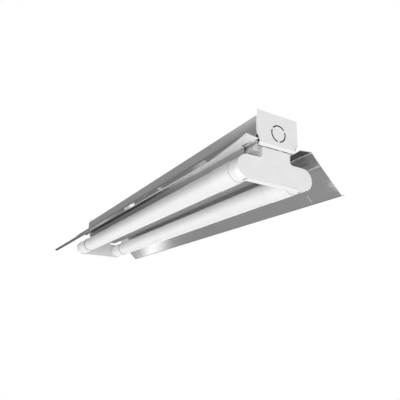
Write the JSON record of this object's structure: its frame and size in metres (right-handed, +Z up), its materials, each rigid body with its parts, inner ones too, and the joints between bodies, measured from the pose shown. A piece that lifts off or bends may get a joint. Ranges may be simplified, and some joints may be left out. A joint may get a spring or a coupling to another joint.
{
  "type": "tube light fixture",
  "caption": "Ceiling batten with tube lamps between twist lampholders, a folded metal reflector and an enclosed wireway.",
  "frame": {"origin": "middle of the housing's top face, halfway between the two ceiling screw holes, on the ceiling plane", "axes": "+X along the lamps towards the near end plate, +Y towards the right lamp, +Z up into the ceiling"},
  "size_m": [0.622, 0.19, 0.08],
  "materials": {
    "housing_metal": "satin, zinc coated",
    "reflector_metal": "semi-bright rolled sheet",
    "white_paint": "satin white powder coat",
    "bracket_white": "fine matt moulding",
    "holder_white": "smooth moulding",
    "screw_metal": "bright zinc",
    "contact_brass": "bright",
    "terminal_plastic": "matt",
    "ground_green": "green dyed zinc",
    "wire_insulation": "smooth insulation",
    "lamp_diffuser": "frosted white",
    "cap_white": "satin",
    "strip_white": "white solder mask",
    "chip_yellow": "clear resin over phosphor",
    "board_green": "green solder mask"
  },
  "bodies": {
    "fixture": {"channel_housing": "housing_metal", "end_plate_near": "white_paint", "end_plate_far": "white_paint", "reflector_left": "reflector_metal", "reflector_right": "reflector_metal", "reflector_screws": "screw_metal", "wireway_cover": "reflector_metal", "cover_bridges": "housing_metal", "cover_screws": "screw_metal", "lampholder_bracket_near": "bracket_white", "lampholder_bracket_far": "bracket_white", "bracket_back_near": "bracket_white", "bracket_back_far": "bracket_white", "bracket_screws": "screw_metal", "lampholder_left_near": "holder_white", "lampholder_right_near": "holder_white", "lampholder_left_far": "holder_white", "lampholder_right_far": "holder_white", "contacts_left_near": "contact_brass", "contacts_right_near": "contact_brass", "contacts_left_far": "contact_brass", "contacts_right_far": "contact_brass", "terminal_block": "terminal_plastic", "terminal_screws": "contact_brass", "ground_screw": "ground_green", "wires_near": "wire_insulation", "wires_far": "wire_insulation"},
    "lamp_left": {"left_tube": "lamp_diffuser", "left_cap_near": "cap_white", "left_cap_far": "cap_white", "left_pins": "contact_brass", "left_rotor_near": "holder_white", "left_rotor_far": "holder_white", "left_light_strip": "strip_white", "left_light_chips": "chip_yellow", "left_power_board": "board_green"},
    "lamp_right": {"right_tube": "lamp_diffuser", "right_cap_near": "cap_white", "right_cap_far": "cap_white", "right_pins": "contact_brass", "right_rotor_near": "holder_white", "right_rotor_far": "holder_white", "right_light_strip": "strip_white", "right_light_chips": "chip_yellow", "right_power_board": "board_green"}
  },
  "joints": [
    {"name": "left_lamp_twist", "type": "hinge", "parent": "fixture", "child": "lamp_left", "pos_m": [0, -0.0377, -0.0668], "axis": [-1, 0, 0], "range_deg": [0, 90]},
    {"name": "right_lamp_twist", "type": "hinge", "parent": "fixture", "child": "lamp_right", "pos_m": [0, 0.0377, -0.0668], "axis": [1, 0, 0], "range_deg": [0, 90]}
  ]
}
